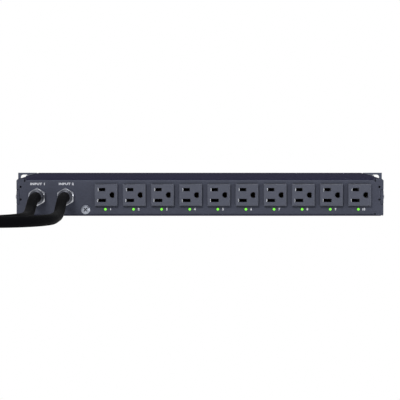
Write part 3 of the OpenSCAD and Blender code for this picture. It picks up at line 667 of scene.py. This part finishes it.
seal_rubber = moulding("seal_rubber", tone(16, 16, 18), tone(30, 30, 34), 0.7)
plug_plastic = moulding("plug_moulding", tone(17, 17, 20), tone(30, 30, 34), 0.45, 0.0004)
package_black = moulding("package_black", tone(22, 22, 25), tone(36, 36, 40), 0.55)
relay_blue = moulding("relay_case", tone(24, 40, 76), tone(34, 54, 96), 0.4)
display_case = moulding("display_case", tone(30, 40, 34), tone(46, 58, 50), 0.5)


def board_lacquer(name):
    """Green lacquer over copper tracks, which stand a hair above the board."""
    f = Finish(name)
    tracks = f.node("ShaderNodeTexBrick", {"offset": 0.5}, {
        "Vector": f.place((1, 1, 1)), "Scale": 110.0, "Mortar Size": 0.02}, "Fac")
    cloud = f.noise(0.01, 3)
    green = f.blend(cloud, tone(16, 66, 36), tone(26, 92, 50))
    return f.surface(Base_Color=f.blend(tracks, green, tone(48, 118, 66)),
                     Roughness=0.3 + cloud * 0.1, Normal=f.bump(tracks, 0.4, 0.0001))


board_green = board_lacquer("board_lacquer")


def smoked_window(name):
    f = Finish(name)
    haze = f.noise(0.004, 3)
    return f.surface(Base_Color=f.blend(haze, tone(14, 16, 20), tone(24, 27, 32)),
                     Roughness=0.06 + haze * 0.05, Alpha=0.72)


window_smoke = smoked_window("smoked_window")


def lit_lens(name):
    """A clear green lens with a lamp behind it, whose glow changes a little in colour."""
    f = Finish(name)
    spark = f.noise(0.0009, 2)
    glow = f.blend(spark, tone(92, 240, 40), tone(170, 255, 90))
    return f.surface(Base_Color=tone(60, 160, 30), Roughness=0.25 + spark * 0.1,
                     Emission_Color=glow, Emission_Strength=0.85)


green_lens = lit_lens("green_lens")

# %% [markdown]
# ## Dress the solids
#
# A solid whose shape is right keeps its mesh, and only its material slots change.

# %% Give every solid its finish
DRESS = {
    panel_coat: ["rear_panel"],
    shaded_cover_coat: ["top_cover", "base_pan"],
    front_coat: ["front_panel"],
    ear_coat: ["rack_ear_left", "rack_ear_right"],
    zinc: ["ear_screws", "ear_nuts", "cover_screws", "led_board_spacers", "ground_nut",
           "board_standoffs", "board_screws"],
    outlet_finish: [f"outlet_{n}" for n in range(1, OUTLET_COUNT + 1)],
    brass: ["line_contacts", "neutral_bus", "ground_bus"],
    nickel: ["gland_body_a", "gland_body_b", "gland_locknuts"],
    cap_nickel: ["gland_cap_a", "gland_cap_b"],
    seal_rubber: ["gland_seals"],
    jacket: ["supply_tail_a", "supply_tail_b", "line_leads"],
    plug_plastic: ["plug_a", "plug_b"],
    blade_nickel: ["plug_a_blades", "plug_b_blades"],
    ground_steel: ["ground_screw"],
    board_green: ["main_board", "led_board", "control_board"],
    sink_alloy: ["heat_sink"],
    package_black: ["thyristors", "current_sensors", "supply_transformers", "capacitors",
                    "terminal_blocks"],
    relay_blue: ["outlet_relays"],
    display_case: ["display"],
    window_smoke: ["display_window"],
    jack_shell: ["network_jack"],
    green_lens: ["status_leds"],
}
for finish, names in DRESS.items():
    for name in names:
        for slot in nodes[name].material_slots:
            slot.material = finish.material
print("dressed", sum(len(names) for names in DRESS.values()), "solids")

# %% [markdown]
# ## Lenses of the outlet lights
#
# Each light is a 3 mm round lens that just stands out of the panel, with a dome as a front. A plain
# disc would look like a sticker, so a cylinder is taken, its front face is drawn in by steps that
# follow a quarter circle, and the same is done at all ten places.

# %% Model a lens at each of the ten places
LENS_D = 3.0
LENS_STEPS = 6


def lens(name, x):
    """A domed lens on the Y axis at x, standing in the panel's hole."""
    start_clean()
    length = 4.0
    bpy.ops.mesh.primitive_cylinder_add(
        vertices=32, radius=LENS_D / 2 * MM, depth=length * MM, end_fill_type="NGON",
        location=(x, PANEL_Y + (length / 2 - 0.1) * MM, LED_Z), rotation=(math.pi / 2, 0, 0))
    piece = bpy.context.object
    bpy.ops.object.transform_apply(location=True, rotation=True, scale=True)
    pick_faces(piece, lambda centre, normal: normal.y < -0.9)
    dome = 0.9
    for step in range(1, LENS_STEPS + 1):
        now, before = (math.radians(88 * s / LENS_STEPS) for s in (step, step - 1))
        bpy.ops.mesh.inset(thickness=LENS_D / 2 * (math.cos(before) - math.cos(now)) * MM)
        bpy.ops.transform.translate(value=(0, -dome * (math.sin(now) - math.sin(before)) * MM, 0))
    bpy.ops.object.mode_set(mode="OBJECT")
    return finish_piece(piece, name, green_lens, 60)


lenses = [lens(f"outlet_lens_{n}", middle(f"outlet_{n}").x + LED_DX)
          for n in range(1, OUTLET_COUNT + 1)]
for piece in lenses:
    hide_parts("outlet_leds")
print("lenses", len(lenses), "each", len(lenses[0].data.polygons), "faces")

# %% [markdown]
# ## End tabs of the rear panel
#
# At each end the panel's edge is folded forward over the side of the chassis, so that a cover screw
# can hold it. From behind, the fold fills the edge between two short relief slits. A bar starts the
# piece, its outer face is drawn out into the tab, and the corners are rounded. Two more bars
# shorten the reliefs, which run further in on the solid.

# %% Fold the two end tabs
TAB_Z = (14.5, 30.0)               # the tab's height range
TAB_SLIT = 1.25                    # the height of a slit beside the tab
TAB_ROOT, TAB_NECK, TAB_OUT = 212.6, 213.9, 216.1
RELIEF = 1.3                       # the reliefs in the solid run further in than the slits,
SLIT_ROOT = 209.1                  # to here
PANEL_T = 1.5
FOLD_R = 0.5


def bar(low_x, high_x, y, z, tall):
    """A bar of the panel's thickness between two distances from its middle."""
    start_clean()
    bpy.ops.mesh.primitive_cube_add(size=1, location=at_panel((low_x + high_x) / 2, y, z))
    piece = bpy.context.object
    piece.scale = (abs(high_x - low_x) * MM, PANEL_T * MM, tall * MM)
    bpy.ops.object.transform_apply(location=True, rotation=True, scale=True)
    return piece


def end_tab(side):
    """The filled edge at one end: side is -1 for the left end and 1 for the right one."""
    middle_z = sum(TAB_Z) / 2
    tall = TAB_Z[1] - TAB_Z[0]
    piece = bar(side * TAB_ROOT, side * TAB_NECK, PANEL_T / 2 + 0.02, middle_z,
                tall + 2 * TAB_SLIT)
    pick_faces(piece, lambda centre, normal: normal.x * side > 0.9)
    bpy.ops.mesh.inset(thickness=0.0)
    bpy.ops.transform.resize(value=(1, 1, tall / (tall + 2 * TAB_SLIT)),
                             center_override=at_panel(side * TAB_NECK, 0, middle_z))
    bpy.ops.mesh.extrude_region_move(
        TRANSFORM_OT_translate={"value": (side * (TAB_OUT - TAB_NECK) * MM, 0, 0)})
    bpy.ops.object.mode_set(mode="OBJECT")
    corner = piece.modifiers.new("fold", "BEVEL")
    corner.width, corner.segments = FOLD_R * MM, 3
    make_active(piece)
    bpy.ops.object.modifier_apply(modifier="fold")
    # the roots of the relief slits are closed again by two small bars
    fillers = [bar(side * SLIT_ROOT, side * (TAB_ROOT - 0.01), PANEL_T / 2, z, RELIEF)
               for z in (TAB_Z[0] - RELIEF / 2, TAB_Z[1] + RELIEF / 2)]
    make_active(piece)
    for filler in fillers:
        filler.select_set(True)
    bpy.ops.object.join()
    return finish_piece(piece, f"panel_end_tab_{'left' if side < 0 else 'right'}",
                        panel_coat, 40)


for side in (-1, 1):
    tab = end_tab(side)
    print(tab.name, len(tab.data.polygons), "faces")

# %% [markdown]
# ## Printing on the panel
#
# The outlet numbers and the two input marks are silk-screened in white ink. Ink has a thickness of
# a few hundredths of a millimetre, so a text object is given a small extrusion and made a mesh.

# %% White ink


def screen_ink(name):
    f = Finish(name)
    patch = f.noise(0.0008, 3)
    return f.surface(Base_Color=f.blend(patch, tone(196, 198, 204), tone(232, 233, 238)),
                     Roughness=0.55 + patch * 0.1)


white_ink = screen_ink("white_ink")
INK = 0.05 * MM
BOLD = 0.07                        # of a letter's height
CAPITAL = 0.7                      # height of a capital letter, of the font's size
NUMBER_DX = 6.1 * MM               # from a light to its number


def printed(words, name, x, z, height, spread=1.0, stretch=1.0):
    """Printed words with their middle at x, z on the panel.

    `spread` sets the room between letters and `stretch` widens the letters themselves."""
    start_clean()
    bpy.ops.object.text_add(location=(x, PANEL_Y - INK, z), rotation=(math.pi / 2, 0, 0))
    piece = bpy.context.object
    piece.data.body = words
    piece.data.align_x = "CENTER"
    piece.data.align_y = "CENTER"
    piece.data.size = height / CAPITAL
    piece.data.extrude = INK
    piece.data.offset = BOLD * height
    piece.data.space_character = spread
    piece.scale.x = stretch
    piece.data.resolution_u = 3
    bpy.ops.object.convert(target="MESH")
    piece = bpy.context.object
    return finish_piece(piece, name, white_ink)


for n in range(1, OUTLET_COUNT + 1):
    printed(str(n), f"outlet_number_{n}", middle(f"outlet_{n}").x + LED_DX + NUMBER_DX, LED_Z,
            2.6 * MM)
for n, gland in enumerate(GLAND_MIDDLES, 1):
    printed(f"INPUT {n}", f"input_mark_{n}", gland.x + 0.7 * MM, 37.6 * MM, 2.4 * MM,
            spread=1.12, stretch=1.3)
print("printed", OUTLET_COUNT + len(GLAND_MIDDLES), "marks")

# %% [markdown]
# ## The room
#
# A pale floor and a pale wall far behind show white, because what the camera, the polished metal
# and the clear plastic see of them is a plain white. Their own paint is a mid tone for all other
# light, so the object isn't flooded.

# %% Floor and backdrop


def pale_paint(name):
    """Plain white to direct looks, and a pale matt paint to all other light."""
    f = Finish(name)
    path = f.node("ShaderNodeLightPath").socket.node
    looks = [Wire(f, path.outputs[ray]) for ray in
             ("Is Camera Ray", "Is Glossy Ray", "Is Transmission Ray")]
    seen = f.node("ShaderNodeMath", {"operation": "MINIMUM"},
                  {0: looks[0] + looks[1] + looks[2], 1: 1.0})
    paint = f.node("ShaderNodeBsdfDiffuse", {}, {"Color": (0.8, 0.8, 0.81, 1)})
    plain = f.node("ShaderNodeEmission", {}, {"Color": (1, 1, 1, 1), "Strength": 1.0})
    mixed = f.node("ShaderNodeMixShader", {}, {0: seen, 1: paint, 2: plain})
    f.tree.links.new(mixed.socket, f.output.inputs["Surface"])
    return f


def stage_plane(name, size, place, turn, finish):
    start_clean()
    bpy.ops.mesh.primitive_plane_add(size=size, location=place, rotation=turn)
    plane = bpy.context.object
    bpy.ops.object.transform_apply(location=True, rotation=True, scale=True)
    plane.name = plane.data.name = name
    plane.data.materials.append(finish.material)
    return plane


stage_plane("floor", 9.0, (0, 0, -0.0001), (0, 0, 0), pale_paint("floor_paint"))
stage_plane("backdrop", 9.0, (0, 4.5, 1.0), (math.pi / 2, 0, 0), pale_paint("backdrop_paint"))

# %% [markdown]
# ## The lamps
#
# One large soft lamp in front and to the upper left lights the panel and draws the short shadows
# under and beside the outlets. One lamp above brings out the folds. A narrow strip at the right
# stands almost in the panel's plane, so it only catches the edges and the polished bevels. The
# bevels at the slots' left ends also carry a painted highlight in their base colour.

# %% Lamps and world


def soft_lamp(name, place, aim, width, height, power):
    data = bpy.data.lights.new(name, "AREA")
    data.shape = "RECTANGLE"
    data.size, data.size_y = width, height
    data.energy = power
    lamp = bpy.data.objects.new(name, data)
    lamp.location = place
    lamp.rotation_euler = (Vector(aim) - Vector(place)).to_track_quat("-Z", "Y").to_euler()
    bpy.context.scene.collection.objects.link(lamp)
    return lamp


panel_middle = (0, PANEL_Y, 0.02)
soft_lamp("front_lamp", (-0.7, -2.4, 1.3), panel_middle, 0.9, 0.6, 34)
soft_lamp("top_lamp", (0.2, 0.1, 1.6), (0, 0, 0), 1.6, 0.5, 8)
soft_lamp("right_strip", (1.5, PANEL_Y - 0.32, 0.12), panel_middle, 0.12, 0.6, 12)
soft_lamp("left_strip", (-1.5, PANEL_Y - 0.45, 0.2), panel_middle, 0.12, 0.5, 4)

world = bpy.data.worlds.new("plain_world")
bpy.context.scene.world = world
world.use_nodes = True
world.node_tree.nodes["Background"].inputs["Color"].default_value = (0.9, 0.92, 1.0, 1)
world.node_tree.nodes["Background"].inputs["Strength"].default_value = 0.34
